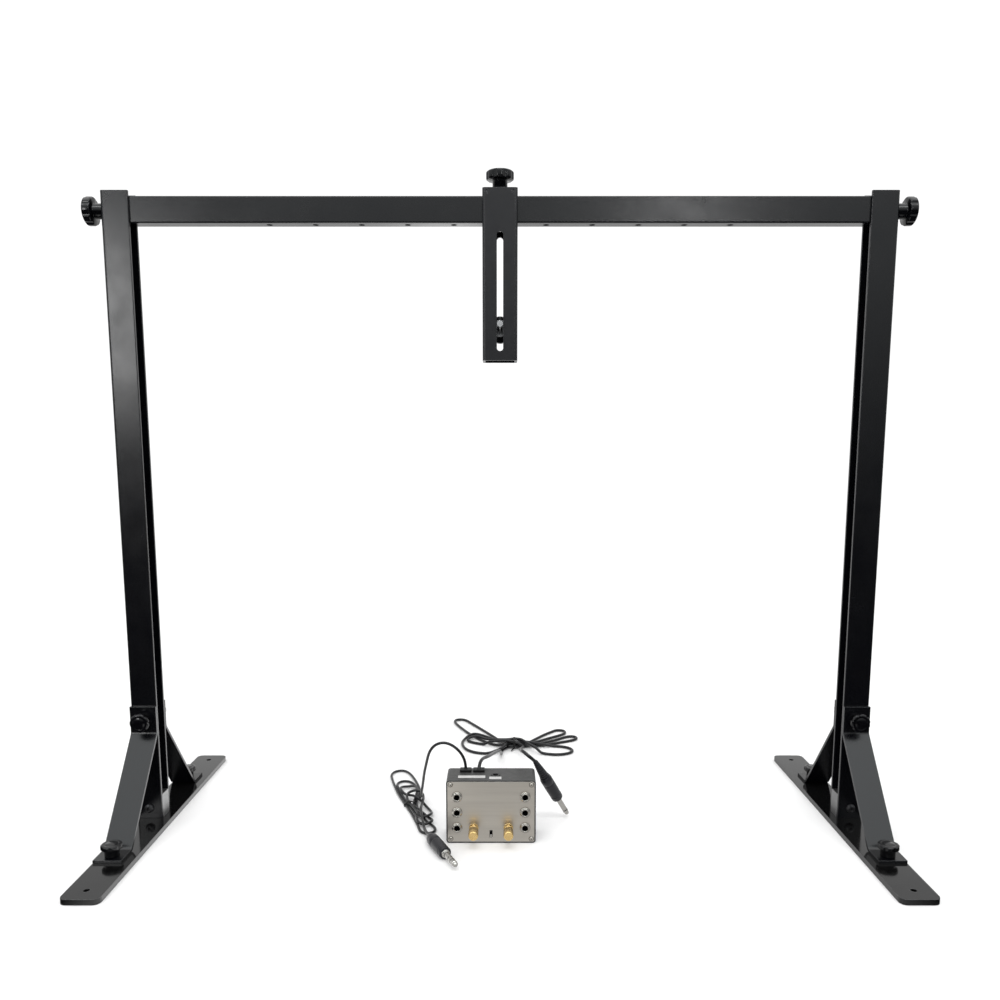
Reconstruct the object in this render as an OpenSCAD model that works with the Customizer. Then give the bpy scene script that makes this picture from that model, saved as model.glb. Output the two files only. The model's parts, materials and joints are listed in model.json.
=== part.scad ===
// Overhead camera slider: a gantry of two channel legs and a crossbar, a
// slotted carriage that slides along the bar, and a small control box.
// X runs along the crossbar, Y from front to back, Z up from the floor.
// The origin is on the floor, midway between the legs.

/* [Frame] */
// Width over the outer faces of the legs
frame_w = 856; // [800:1:1000]
// Height of the leg tops above the floor
frame_h = 711; // [640:1:900]
// Length of a base plate, front to back
plate_l = 400; // [340:1:500]
// Width of a base plate
plate_w = 40; // [38:1:50]
// Thickness of a base plate
plate_t = 6; // [5:0.5:8]
// Radius of a floor hole
floor_hole_r = 3.25; // [2.5:0.25:4]
// Distance of a floor hole from the plate's end
floor_hole_inset = 18; // [15:1:30]

/* [Braces] */
// Height of a brace's upper edge above the floor
brace_top = 142; // [130:1:180]
// Length of the upright tab at the top of a brace
brace_tab = 32; // [28:1:40]
// Distance of the lower bend from the middle of the plate
brace_bend_y = 98; // [90:1:110]
// Distance of the foot tab's end from the middle of the plate
brace_end_y = 126; // [124:1:140]
// Thickness of the brace strap
brace_t = 3; // [2:0.5:4]

/* [Crossbar] */
// Height of the crossbar's section
bar_h = 28; // [26:1:32]
// Wall thickness of the crossbar
bar_wall = 2; // [1.5:0.5:2.5]
// Drop of the crossbar's top below the leg tops
bar_drop = 5; // [3:1:20]
// Pitch of the holes along the crossbar's underside
bar_pitch = 50; // [40:1:60]

/* [Carriage] */
// Width of the carriage tube, along X
tube_w = 38; // [36:1:50]
// Depth of the carriage tube, front to back
tube_d = 30; // [30:1:36]
// Length of the carriage tube
tube_l = 180; // [160:1:240]
// Width of the camera slot
slot_w = 7; // [6.8:0.1:8]
// Height of the camera screw below the carriage's top
screw_drop = 142; // [70:1:145]

/* [Knobs] */
// Radius of a large knob's head
knob_r = 15; // [13:0.5:18]
// Number of flutes round a large knob
knob_flutes = 8; // [6:1:12]
// Radius of a brace screw's head
thumb_r = 11; // [10:0.5:13]

/* [Control box] */
// Width of the control box
box_w = 100; // [98:1:120]
// Depth of the control box, front to back
box_d = 38; // [38:1:50]
// Height of the control box
box_h = 73; // [72:1:90]
// X of the box's centre
box_x = -10; // [-14:1:-6]
// Y of the box's front face
box_y = -65; // [-70:1:-62]

/* [Leads] */
// Radius of the left lead
lead_left_r = 1.65; // [1.5:0.05:2]
// Radius of the right lead
lead_right_r = 2; // [1.5:0.05:2]

/* [Hidden] */
$fn = 48;

// Clearances
run = 0.05;        // radial clearance of a running screw in its thread
slide = 0.3;       // clearance of the carriage on the bar
eps = 0.01;        // overshoot of a cut past a face

// Legs and crossbar
leg_w = 30;        // channel width along X
leg_d = 24;        // channel depth along Y
wall = 3;          // channel and tube wall
bend_r = 3;        // outer bend radius of the channels and tube
x_out = frame_w / 2;
x_web = x_out - wall;
x_lip = x_out - leg_w;
x_axis = x_out - leg_w / 2;
bar_d = leg_d - 2 * wall;
bar_top = frame_h - bar_drop;
bar_low = bar_top - bar_h;
bar_mid = (bar_top + bar_low) / 2;
bar_hole_r = 3.25;
bar_hole_steps = 5;
plug_l = 20;

// Feet
block_h = 28;
bolt_z = plate_t + 12;
foot_screw_y = 5.5;
hole_y = plate_l / 2 - floor_hole_inset;
m5_r = 2.5;
m6_r = 3;
m8_r = 4;
m6_hole_r = 3.25;

// Braces
strap_gap = 0.1;   // gap between a screw's neck and the strap
upper_z = brace_top - brace_tab / 2;
lower_y = (brace_bend_y + brace_end_y) / 2 + 1;
nut_t = 5;

// Knobs
neck_r = 7.5;
neck_l = 10.5;
head_l = 10;
knob_l = neck_l + head_l;
flute_r = 4;
stud_in = 12;      // depth of a stud in its knob

// Carriage
tube_low = bar_top + 7 - tube_l;
tube_top = bar_top + 7;
slot_top = bar_low - 10;
slot_low = tube_low + 10;
screw_z = tube_top - screw_drop;
camera_r = 3.175;  // quarter-inch camera thread
camera_out = 5.5;  // thread standing out in front
shank_r = 2.9;     // plain shank between the threads
washer_t = 1.5;
pad_r = 6;
cap_t = 6;
cap_screw_x = 14.5;

// Control box
shell_t = 2.5;
rim_t = 1.5;
plate_in = 1.5;    // thickness of the faceplate
corner_r = 3.5;
box_left = box_x - box_w / 2;
face_inner = box_y + plate_in;
post_inset = 5.5;
jack_x = 38;
jack_z = [18, 36, 54];
jack_r = 3.2;
barrel_r = 4.5;
barrel_out = 2.5;
jack_back = 28;
dial_x = [box_x - 19.3, box_x + 19.3];
dial_z = 17.5;
dial_r = 5.5;
dial_l = 15;
bush_r = 4;
bush_out = 6.5;
shaft_r = 3;
slot_x = box_x;
slot_z = [6, 15];
lever_z = 6.3;
lever_h = 4;
power_at = [box_x + 5, box_y + 17];
grommet_at = [[box_x - 29, box_y + 29], [box_x - 14, box_y + 29]];
grommet_out = 3;
cord_exit_z = box_h + grommet_out;

// Leads: routes of the stretches that aren't bundled
route_left = [
  [-39, -36, 76], [-39.5, -36, 83], [-43.5, -36, 93], [-52, -36, 102], [-63, -35, 106.5],
  [-74, -33, 103], [-81, -29, 93], [-85, -21, 78], [-89, -9, 60], [-92, 6, 42],
  [-95, 22, 26], [-98, 38, 12], [-100.5, 54, 3.5]
];
route_right = [
  [-24, -37, 76], [-24, -36.8, 77.6], [-23.6, -34.5, 79.8], [-22.6, -29.5, 81.4], [-21, -22, 81.6],
  [-18.5, -12, 79.9], [-15, 0, 76.8], [-11.5, 22, 71], [-8.3, 50, 63], [-5.8, 75, 55.5],
  [-3.6, 100, 47.5], [-1.6, 125, 39.3], [0.2, 150, 30.5], [1.2, 172, 21], [1.8, 192, 12],
  [1.8, 206, 5.8], [1.8, 218, 2.6], [3, 230, 2.5]
];
route_tail = [
  [28.3, 232, 7], [28, 205, 15], [27.5, 165, 27.5], [27, 125, 41], [26.5, 85, 54.5],
  [26, 45, 68.3], [25.5, 10, 80.8], [25, -10, 88.3], [25.2, -19.5, 91.5], [26.8, -26.5, 92.7],
  [29.8, -31, 91.5], [33.2, -32.6, 89], [36.9, -31.6, 85.6], [40.3, -28.8, 81.9]
];
hank_h = 8;
hank_low = 0.8;
hank_left_at = [-106, 38];
hank_left_turn = 103.6;
outline_left = [
  [-97, -5, 1.5], [-97, 1, 1.5], [-88, 8, 5], [-30, 12, 0], [60, 20, 10], [108, 19, 8],
  [116, 8, 6], [114, -6, 8], [90, -15, 8], [20, -17, 0], [-30, -21, 4], [-47, -19, 4],
  [-54, -15, 0], [-78, -17, 6], [-90, -8, 5]
];
outline_right = [
  [-14, 214, 6], [-40, 215, 8], [-58, 246, 8], [-59, 280, 6], [-80, 366, 8], [-68, 386, 8],
  [-54, 374, 4], [10, 268, 8], [34, 262, 8], [82, 323, 6], [96, 324, 6], [102, 306, 4],
  [120, 297, 6], [118, 280, 4], [96, 264, 4], [110, 232, 8], [100, 213, 8], [72, 212, 8],
  [42, 224, 6], [20, 234, 8]
];
tie_t = 1.6;
shell_l = 37;
shell_r = 7;
pin_r = 3.175;
pin_l = 30;
plug_left = [[-80.5, -59, 7], [-45.5, -132.5, 7]];
plug_right = [[40.3, -28.8, 81.9], [81, 6.5, 3.2]];
sides_thin = 8;

// ---------- helpers ----------

function unit(v) = v / norm(v);

// Corners given as [x, y, radius] become points, with an arc at each radius
function rounded(c, n = 4) = [
  for (i = [0 : len(c) - 1])
    let (p = [c[i][0], c[i][1]],
         q = c[(i + len(c) - 1) % len(c)],
         s = c[(i + 1) % len(c)],
         r = c[i][2])
    each r == 0 ? [p] :
      let (a = unit([q[0], q[1]] - p),
           b = unit([s[0], s[1]] - p),
           h = acos(a * b) / 2,
           m = p + unit(a + b) * r / sin(h),
           u = p + a * r / tan(h) - m,
           v = p + b * r / tan(h) - m,
           t = atan2(u[1], u[0]),
           sweep = (atan2(v[1], v[0]) - t + 540) % 360 - 180)
      [for (k = [0 : n]) m + r * [cos(t + sweep * k / n), sin(t + sweep * k / n)]]
];

// A path moved sideways by d
function beside(p, d) = [
  for (i = [0 : len(p) - 1])
    let (t = p[min(i + 1, len(p) - 1)] - p[max(i - 1, 0)])
    p[i] + d * [-t[1], t[0]] / norm(t)
];

function reversed(p) = [for (i = [len(p) - 1 : -1 : 0]) p[i]];

// A smooth curve through the route's points, n steps to each stretch
function smooth(p, n) = [
  for (i = [0 : len(p) - 2], k = [0 : n - 1])
    let (t = k / n,
         a = p[max(i - 1, 0)], b = p[i], c = p[i + 1], d = p[min(i + 2, len(p) - 1)])
    0.5 * (2 * b + (c - a) * t + (2 * a - 5 * b + 4 * c - d) * t * t
           + (3 * b - a - 3 * c + d) * t * t * t),
  p[len(p) - 1]
];

function direction(p, i) = unit(p[min(i + 1, len(p) - 1)] - p[max(i - 1, 0)]);

// Side vectors carried along the curve without twisting
function sideways(p, i, s) =
  let (t = direction(p, i), u = unit(s - t * (s * t)))
  i == len(p) - 1 ? [u] : concat([u], sideways(p, i + 1, u));

// A round tube of radius r along the curve p
module tube_along(p, r, sides) {
  s = sideways(p, 0, [1, 0, 0]);
  points = [
    for (i = [0 : len(p) - 1])
      let (t = direction(p, i), u = s[i], v = cross(t, u))
      for (k = [0 : sides - 1])
        p[i] + r * (u * cos(360 * k / sides) + v * sin(360 * k / sides))
  ];
  rings = [
    for (i = [0 : len(p) - 2], k = [0 : sides - 1])
      let (a = i * sides + k, b = i * sides + (k + 1) % sides)
      [a, a + sides, b + sides, b]
  ];
  first = [for (k = [0 : sides - 1]) k];
  last = [for (k = [sides - 1 : -1 : 0]) (len(p) - 1) * sides + k];
  polyhedron(points, concat([first], rings, [last]));
}

module on_side(left) {
  mirror([left ? 1 : 0, 0, 0]) children();
}

module to_back(rear) {
  mirror([0, rear ? 0 : 1, 0]) children();
}

// Extrusion of a YZ outline along X
module along_x(x0, length) {
  translate([x0, 0, 0]) rotate([90, 0, 90]) linear_extrude(length) children();
}

module rod(from, length, r, axis) {
  turn = axis == "x" ? [0, 90, 0] : axis == "y" ? [-90, 0, 0] : [0, 0, 0];
  translate(from) rotate(turn) cylinder(h = length, r = r);
}

module rounded_block(size, r) {
  linear_extrude(size[2])
    polygon(rounded([[0, 0, r], [size[0], 0, r], [size[0], size[1], r], [0, size[1], r]]));
}

// ---------- frame ----------

module base_plate(left) {
  color("#1c1c1f") on_side(left) difference() {
    translate([x_out - plate_w, -plate_l / 2, 0]) rounded_block([plate_w, plate_l, plate_t], 7);
    for (s = [-1, 1]) {
      rod([x_out - plate_w / 2, s * hole_y, -1], plate_t + 2, floor_hole_r, "z");
      rod([x_axis, s * lower_y, -1], plate_t + 2, m6_r + run, "z");
      rod([x_axis - 2, s * foot_screw_y, -1], plate_t + 2, m5_r + run, "z");
      translate([x_axis - 2, s * foot_screw_y, -eps])
        cylinder(h = 2.3, r1 = m5_r + 2.3, r2 = m5_r);
    }
  }
}

module leg(left) {
  color("#202023") on_side(left) difference() {
    translate([0, 0, plate_t]) linear_extrude(frame_h - plate_t) polygon(rounded([
      [x_lip, -leg_d / 2, 0.6], [x_out, -leg_d / 2, bend_r], [x_out, leg_d / 2, bend_r],
      [x_lip, leg_d / 2, 0.6], [x_lip, bar_d / 2, 0], [x_web, bar_d / 2, 0],
      [x_web, -bar_d / 2, 0], [x_lip, -bar_d / 2, 0]
    ]));
    for (z = [bolt_z, upper_z]) rod([x_axis, -leg_d, z], 2 * leg_d, m6_hole_r, "y");
    rod([x_web - 1, 0, bar_mid], wall + 2, m8_r + 0.25, "x");
  }
}

module foot_block(left) {
  color("#2b2b2e") on_side(left) difference() {
    translate([x_lip, -bar_d / 2, plate_t]) cube([x_web - x_lip, bar_d, block_h]);
    rod([x_axis, -bar_d, bolt_z], 2 * bar_d, m6_r + run, "y");
    for (s = [-1, 1]) rod([x_axis - 2, s * foot_screw_y, plate_t - 1], 9, m5_r + run, "z");
  }
}

module foot_screws() {
  color("#3a3a3d") for (left = [false, true], s = [-1, 1])
    on_side(left) translate([x_axis - 2, s * foot_screw_y, 0.2]) difference() {
      union() {
        cylinder(h = 2, r1 = m5_r + 2, r2 = m5_r);
        cylinder(h = plate_t + 7, r = m5_r);
      }
      translate([0, 0, -eps]) cylinder(h = 1.6, r = 1.7, $fn = 6);
    }
}

module leg_bolts() {
  color("#2a2a2c") for (left = [false, true]) on_side(left)
    translate([x_axis, -leg_d / 2, bolt_z]) rotate([-90, 0, 0]) difference() {
      union() {
        rotate_extrude() polygon([[0, -3.3], [3, -3.3], [4.7, -2.4], [5.3, -1], [5.3, 0], [0, 0]]);
        cylinder(h = leg_d + nut_t + 1.5, r = m6_r);
      }
      translate([0, 0, -3.3 - eps]) cylinder(h = 2.2, r = 2.3, $fn = 6);
    }
}

module leg_nuts() {
  color("#2a2a2c") for (left = [false, true]) on_side(left)
    translate([x_axis, leg_d / 2, bolt_z]) rotate([-90, 0, 0]) difference() {
      cylinder(h = nut_t, r = 5.77, $fn = 6);
      translate([0, 0, -1]) cylinder(h = nut_t + 2, r = m6_r + run);
    }
}

// ---------- braces ----------

module brace(left, rear) {
  near = leg_d / 2 + brace_t / 2;
  low = plate_t + brace_t / 2;
  middle = rounded([
    [near, brace_top, 0], [near, brace_top - brace_tab, 7],
    [brace_bend_y, low, 7], [brace_end_y, low, 0]
  ]);
  color("#242427") on_side(left) to_back(rear) difference() {
    along_x(x_lip, leg_w)
      polygon(concat(beside(middle, brace_t / 2), reversed(beside(middle, -brace_t / 2))));
    rod([x_axis, 0, upper_z], 2 * leg_d, m6_hole_r, "y");
    rod([x_axis, lower_y, 0], 2 * plate_t + 6, m6_hole_r, "z");
  }
}

module brace_nuts() {
  color("#4a4a4c") for (left = [false, true], rear = [false, true])
    on_side(left) to_back(rear) difference() {
      translate([x_axis - 5, bar_d / 2 - nut_t, upper_z - 5]) cube([10, nut_t, 10]);
      rod([x_axis, 0, upper_z], leg_d, m6_r + run, "y");
    }
}

// A brace screw with its neck at the origin, its stud towards -Z
module thumb_screw(stud) {
  color("#18181a") difference() {
    union() {
      rotate_extrude() polygon([
        [0, 0], [neck_r, 0], [neck_r, 6.6], [thumb_r - 1, 7.4], [thumb_r, 8.3],
        [thumb_r, 11.7], [thumb_r - 1, 12.6], [thumb_r - 2.5, 13], [0, 13]
      ]);
      translate([0, 0, -stud]) cylinder(h = stud + 1, r = m6_r);
    }
    for (i = [0 : 6]) rotate([0, 0, 360 * i / 7])
      translate([thumb_r + 2.2, 0, 6]) cylinder(h = 9, r = 3.2);
  }
}

module screw_upper(left, rear) {
  on_side(left) to_back(rear)
    translate([x_axis, leg_d / 2 + brace_t + strap_gap, upper_z]) rotate([-90, 0, 0])
      thumb_screw(brace_t + wall + nut_t + 1.5);
}

module screw_lower(left, rear) {
  on_side(left) to_back(rear)
    translate([x_axis, lower_y, plate_t + brace_t + strap_gap])
      thumb_screw(brace_t + plate_t - 0.5);
}

// ---------- crossbar ----------

module crossbar() {
  y = bar_d / 2;
  color("#232326") difference() {
    along_x(-x_web, 2 * x_web) difference() {
      polygon(rounded([[-y, bar_low, 1.5], [y, bar_low, 1.5], [y, bar_top, 1.5], [-y, bar_top, 1.5]]));
      translate([-y + bar_wall, bar_low + bar_wall])
        square([bar_d - 2 * bar_wall, bar_h - 2 * bar_wall]);
    }
    for (i = [-bar_hole_steps : bar_hole_steps])
      rod([i * bar_pitch, 0, bar_low - 1], bar_wall + 2, bar_hole_r, "z");
  }
}

module bar_plugs() {
  y = bar_d / 2 - bar_wall;
  color("#6a6a6d") for (left = [false, true]) on_side(left) difference() {
    translate([x_web - plug_l, -y, bar_low + bar_wall]) cube([plug_l, 2 * y, bar_h - 2 * bar_wall]);
    rod([x_web - plug_l - 1, 0, bar_mid], plug_l + 2, m8_r + run, "x");
  }
}

// A large knob with its neck at the origin and its head towards +Z
module knob() {
  color("#121214") difference() {
    rotate_extrude() polygon([
      [0, 0], [neck_r, 0], [neck_r, neck_l - 1.5], [knob_r - 3, neck_l - 0.5],
      [knob_r - 0.8, neck_l + 1], [knob_r, neck_l + 2.2], [knob_r, knob_l - 2],
      [knob_r - 1, knob_l - 0.6], [knob_r - 3, knob_l], [0, knob_l]
    ]);
    for (i = [0 : knob_flutes - 1]) rotate([0, 0, 360 * (i + 0.5) / knob_flutes])
      translate([knob_r + flute_r - 1.4, 0, neck_l - 3]) cylinder(h = head_l + 4, r = flute_r);
    translate([0, 0, -1]) cylinder(h = stud_in + 1, r = m8_r);
  }
}

module end_knob(left) {
  on_side(left) translate([x_out + slide, 0, bar_mid]) rotate([0, 90, 0]) knob();
}

module end_stud(left) {
  color("#8d8d90") on_side(left)
    rod([x_web - 15, 0, bar_mid], 15 + wall + slide + stud_in, m8_r, "x");
}

// ---------- carriage ----------

module slot_cut(y0, length) {
  for (z = [slot_low + slot_w / 2, slot_top - slot_w / 2]) rod([0, y0, z], length, slot_w / 2, "y");
  translate([-slot_w / 2, y0, slot_low + slot_w / 2]) cube([slot_w, length, slot_top - slot_low - slot_w]);
}

module carriage_tube() {
  x = tube_w / 2;
  y = tube_d / 2;
  color("#222225") difference() {
    translate([0, 0, tube_low]) linear_extrude(tube_l) difference() {
      polygon(rounded([[-x, -y, bend_r], [x, -y, bend_r], [x, y, bend_r], [-x, y, bend_r]]));
      translate([wall - x, wall - y]) square([tube_w - 2 * wall, tube_d - 2 * wall]);
    }
    slot_cut(-y - 1, tube_d + 2);
    translate([-x - 1, -bar_d / 2 - slide, bar_low - slide])
      cube([tube_w + 2, bar_d + 2 * slide, bar_h + 2 * slide]);
    for (s = [-1, 1]) translate([s * cap_screw_x, -y, tube_top - cap_t / 2]) {
      rod([0, -1, 0], wall + 2, 1.6, "y");
      translate([0, -eps, 0]) rotate([-90, 0, 0]) cylinder(h = 1.5, r1 = 3, r2 = 1.5);
    }
  }
}

module carriage_cap() {
  x = tube_w / 2 - wall;
  y = tube_d / 2 - wall;
  color("#2a2a2d") difference() {
    translate([-x, -y, tube_top - cap_t]) cube([2 * x, 2 * y, cap_t]);
    rod([0, 0, tube_top - cap_t - 1], cap_t + 2, m8_r + run, "z");
    rod([0, 0, tube_top - cap_t - 1], 3.4, pad_r + 0.1, "z");
    for (s = [-1, 1]) rod([s * cap_screw_x, -y - 1, tube_top - cap_t / 2], 8, 1.5 + run, "y");
  }
}

module cap_screws() {
  y = tube_d / 2;
  color("#111113") for (s = [-1, 1])
    translate([s * cap_screw_x, 0.15 - y, tube_top - cap_t / 2]) rotate([-90, 0, 0]) difference() {
      union() {
        cylinder(h = 1.2, r1 = 2.7, r2 = 1.5);
        cylinder(h = 9, r = 1.5);
      }
      translate([0, 0, -eps]) cylinder(h = 0.9, r = 1, $fn = 6);
    }
}

module clamp_knob() {
  translate([0, 0, tube_top + slide]) knob();
}

module clamp_stud() {
  color("#8d8d90")
    rod([0, 0, tube_top - cap_t + 1.9], cap_t - 1.9 + slide + stud_in, m8_r, "z");
}

module pressure_pad() {
  color("#d9d6cc") rod([0, 0, bar_top + 0.4], tube_top - cap_t + 1.9 - bar_top - 0.4, pad_r, "z");
}

module camera_washer() {
  color("#9a9a9d") difference() {
    rod([0, tube_d / 2 + 0.1, screw_z], washer_t, 9, "y");
    rod([0, tube_d / 2 - 1, screw_z], washer_t + 2, camera_r + run, "y");
  }
}

module camera_knob() {
  translate([0, tube_d / 2 + 0.1 + washer_t + 0.1, screw_z]) rotate([-90, 0, 0]) knob();
}

module camera_stud() {
  front = -tube_d / 2 - camera_out;
  base = tube_d / 2 + washer_t + 0.2;
  color("#a5a5a8") {
    rod([0, front, screw_z], camera_out, camera_r, "y");
    rod([0, front + 1, screw_z], base - front, shank_r, "y");
    rod([0, tube_d / 2 - 1, screw_z], base - tube_d / 2 + 1, camera_r, "y");
    rod([0, base, screw_z], stud_in, m8_r, "y");
  }
}

// ---------- control box ----------

// Outline of the box's face in XZ, drawn in from the edges by inset
module face_outline(inset, r) {
  polygon(rounded([
    [box_left + inset, inset, r], [box_left + box_w - inset, inset, r],
    [box_left + box_w - inset, box_h - inset, r], [box_left + inset, box_h - inset, r]
  ]));
}

// Extrusion of an XZ outline from y0 towards +Y
module along_y(y0, length) {
  translate([0, y0 + length, 0]) rotate([90, 0, 0]) linear_extrude(length) children();
}

module at_posts() {
  for (x = [-1, 1], z = [post_inset, box_h - post_inset])
    translate([box_x + x * (box_w / 2 - post_inset), 0, z]) children();
}

module box_shell() {
  color("#333335") difference() {
    union() {
      difference() {
        along_y(box_y, box_d) face_outline(0, corner_r);
        along_y(face_inner, box_d - plate_in - shell_t) face_outline(shell_t, 1.5);
        along_y(box_y - 1, plate_in + 1) face_outline(rim_t, corner_r - rim_t);
      }
      intersection() {
        along_y(face_inner, box_d - plate_in - 1) face_outline(1, corner_r - 1);
        at_posts() translate([0, face_inner, 0]) rotate([-90, 0, 0])
          cylinder(h = box_d - plate_in - 1, r = 4.2);
      }
    }
    at_posts() rod([0, box_y, 0], 16, 1.25 + run, "y");
    for (g = grommet_at) translate([g[0] - 5, g[1] - 3, box_h - shell_t - 1]) cube([10, 6, shell_t + 2]);
    rod([power_at[0], power_at[1], box_h - shell_t - 1], shell_t + 2, 4.7, "z");
  }
}

module faceplate() {
  color("#a8a196") difference() {
    along_y(box_y, plate_in) face_outline(rim_t + 0.1, corner_r - rim_t - 0.1);
    for (s = [-1, 1], z = jack_z) rod([box_x + s * jack_x, box_y - 1, z], plate_in + 2, barrel_r, "y");
    for (x = dial_x) rod([x, box_y - 1, dial_z], plate_in + 2, bush_r, "y");
    at_posts() rod([0, box_y - 1, 0], plate_in + 2, 1.6, "y");
    translate([slot_x - 1.7, box_y - 1, slot_z[0]]) cube([3.4, plate_in + 2, slot_z[1] - slot_z[0]]);
  }
}

module faceplate_screws() {
  color("#8f8b84") at_posts() translate([0, box_y, 0]) rotate([-90, 0, 0]) difference() {
    union() {
      rotate_extrude() polygon([[0, -1.2], [1.4, -1.1], [2.3, -0.6], [2.7, 0], [0, 0]]);
      cylinder(h = 14, r = 1.25);
    }
    for (a = [0, 90]) rotate([0, 0, a + 20]) translate([-1.5, -0.25, -1.3]) cube([3, 0.5, 0.7]);
  }
}

module jack_sockets() {
  color("#1a1a1c") for (s = [-1, 1], z = jack_z) translate([box_x + s * jack_x, 0, z]) difference() {
    union() {
      rod([0, box_y - barrel_out, 0], plate_in + barrel_out + 1, barrel_r, "y");
      translate([-6, face_inner, -7]) cube([12, jack_back - 2, 14]);
    }
    rod([0, box_y - barrel_out - 1, 0], jack_back + barrel_out, jack_r, "y");
  }
}

module jack_nuts() {
  color("#b9b5ad") for (s = [-1, 1], z = jack_z) translate([box_x + s * jack_x, box_y, z])
    rotate([90, 0, 0]) difference() {
      rotate_extrude() polygon([
        [barrel_r, 0], [6, 0], [6, 1.2], [5.6, 1.8], [barrel_r, 1.8]
      ]);
      for (i = [0 : 11]) rotate([0, 0, 30 * i]) translate([6.3, 0, -1]) cylinder(h = 4, r = 0.6);
    }
}

// A dial with its shaft, which turns in the potentiometer's bush
module dial(i) {
  color("#c9a24a") translate([dial_x[i], box_y - bush_out - 0.3, dial_z]) rotate([90, 0, 0]) {
    difference() {
      rotate_extrude() polygon([
        [0, 0], [dial_r - 0.5, 0], [dial_r, 0.6], [dial_r, dial_l - 0.9],
        [dial_r - 0.9, dial_l], [0, dial_l]
      ]);
      translate([-0.4, 0.5, dial_l - 0.5]) cube([0.8, dial_r, 1]);
      for (k = [0 : 23]) rotate([0, 0, 15 * k]) translate([dial_r + 0.35, 0, 1.2])
        cylinder(h = dial_l - 3, r = 0.6);
    }
    translate([0, 0, -bush_out - plate_in - 4]) cylinder(h = bush_out + plate_in + 5, r = shaft_r);
  }
}

module potentiometers() {
  color("#b08d3c") for (x = dial_x) translate([x, 0, dial_z]) difference() {
    union() {
      rod([0, box_y - bush_out, 0], bush_out + plate_in + 1, bush_r, "y");
      rod([0, face_inner, 0], 9, 8, "y");
    }
    rod([0, box_y - bush_out - 1, 0], bush_out + plate_in + 7, shaft_r + run, "y");
  }
}

module switch_body() {
  color("#202022") difference() {
    translate([slot_x - 4, face_inner, slot_z[0] - 2]) cube([8, 8, slot_z[1] - slot_z[0] + 4]);
    translate([slot_x - 1.7, face_inner - 1, slot_z[0]]) cube([3.4, 5, slot_z[1] - slot_z[0]]);
  }
}

module switch_lever() {
  color("#b4b1aa") translate([slot_x - 1.4, box_y - 1.2, lever_z]) cube([2.8, 6, lever_h]);
}

module power_socket() {
  color("#151517") translate([power_at[0], power_at[1], 0]) {
    difference() {
      union() {
        rod([0, 0, box_h - 12], 12, 4.7, "z");
        translate([-6, -5.5, box_h - 12]) cube([12, 11, 12 - shell_t]);
      }
      rod([0, 0, box_h - 10], 11, 2.9, "z");
    }
    rod([0, 0, box_h - 11], 9.5, 1.05, "z");
  }
}

module cord_grommets() {
  color("#111112") for (i = [0, 1]) translate([grommet_at[i][0], grommet_at[i][1], 0]) {
    translate([-5, -3, box_h - shell_t - 1]) cube([10, 6, shell_t + 1]);
    translate([-6.5, -4.5, box_h]) rounded_block([13, 9, grommet_out], 0.8);
  }
}

module label_strips() {
  color("#c9c9c6") {
    translate([box_x - 37, box_y + 7.5, box_h]) cube([30.5, 7, 0.3]);
    translate([box_x - 2, box_y + 4, box_h]) cube([13.6, 7, 0.3]);
  }
}

module circuit_board() {
  color("#1f5a34")
    translate([box_x - 39, face_inner + jack_back - 2, 6]) cube([78, 1.6, box_h - 12]);
}

// ---------- leads ----------

module lead_left() {
  color("#1b1b1d") tube_along(smooth(route_left, 2), lead_left_r, sides_thin);
}

module lead_right() {
  color("#1b1b1d") tube_along(route_right, lead_right_r, sides_thin);
}

module tail_right() {
  color("#1b1b1d") tube_along(route_tail, lead_right_r, sides_thin);
}

module hank(outline) {
  color("#1b1b1d") translate([0, 0, hank_low]) linear_extrude(hank_h) polygon(rounded(outline));
}

module hank_left() {
  translate(hank_left_at) rotate(hank_left_turn) hank(outline_left);
}

module hank_right() {
  hank(outline_right);
}

// The part of a tie that shows on top of a bundle
module tie(at, angle, width) {
  color("#0e0e10") translate([at[0], at[1], hank_low + hank_h]) rotate(angle)
    translate([-2.5, -width / 2, 0]) rounded_block([5, width, tie_t], 1.2);
}

module cord_ties() {
  tie([-113, 36], hank_left_turn, 14);
  tie([21, 247], 0, 14);
}

// Turns +Z into the line from one end of a plug to the other
module lay_plug(ends) {
  v = unit(ends[1] - ends[0]);
  translate(ends[0]) rotate([0, acos(v[2]), atan2(v[1], v[0])]) children();
}

function plug_boot(ends) = norm(ends[1] - ends[0]) - shell_l - pin_l;

module plug_shell(boot) {
  rotate_extrude() polygon([
    [0, 0], [2.6, 0], [3.6, boot * 0.35], [5.2, boot * 0.65], [6.4, boot],
    [shell_r, boot + 3], [shell_r, boot + shell_l - 8], [6.4, boot + shell_l - 1.5],
    [5.8, boot + shell_l], [0, boot + shell_l]
  ]);
}

module plug_pin(boot) {
  translate([0, 0, boot + shell_l]) rotate_extrude() polygon([
    [0, 0], [4.6, 0], [4.6, 2.2], [pin_r, 2.4], [pin_r, pin_l - 5], [2, pin_l - 4.2],
    [2, pin_l - 3.6], [2.9, pin_l - 2.4], [1, pin_l], [0, pin_l]
  ]);
}

module plug_shells() {
  color("#1d1d20") for (ends = [plug_left, plug_right])
    lay_plug(ends) plug_shell(plug_boot(ends));
}

module plug_pins() {
  color("#c2bfb8") for (ends = [plug_left, plug_right])
    lay_plug(ends) plug_pin(plug_boot(ends));
}

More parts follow.
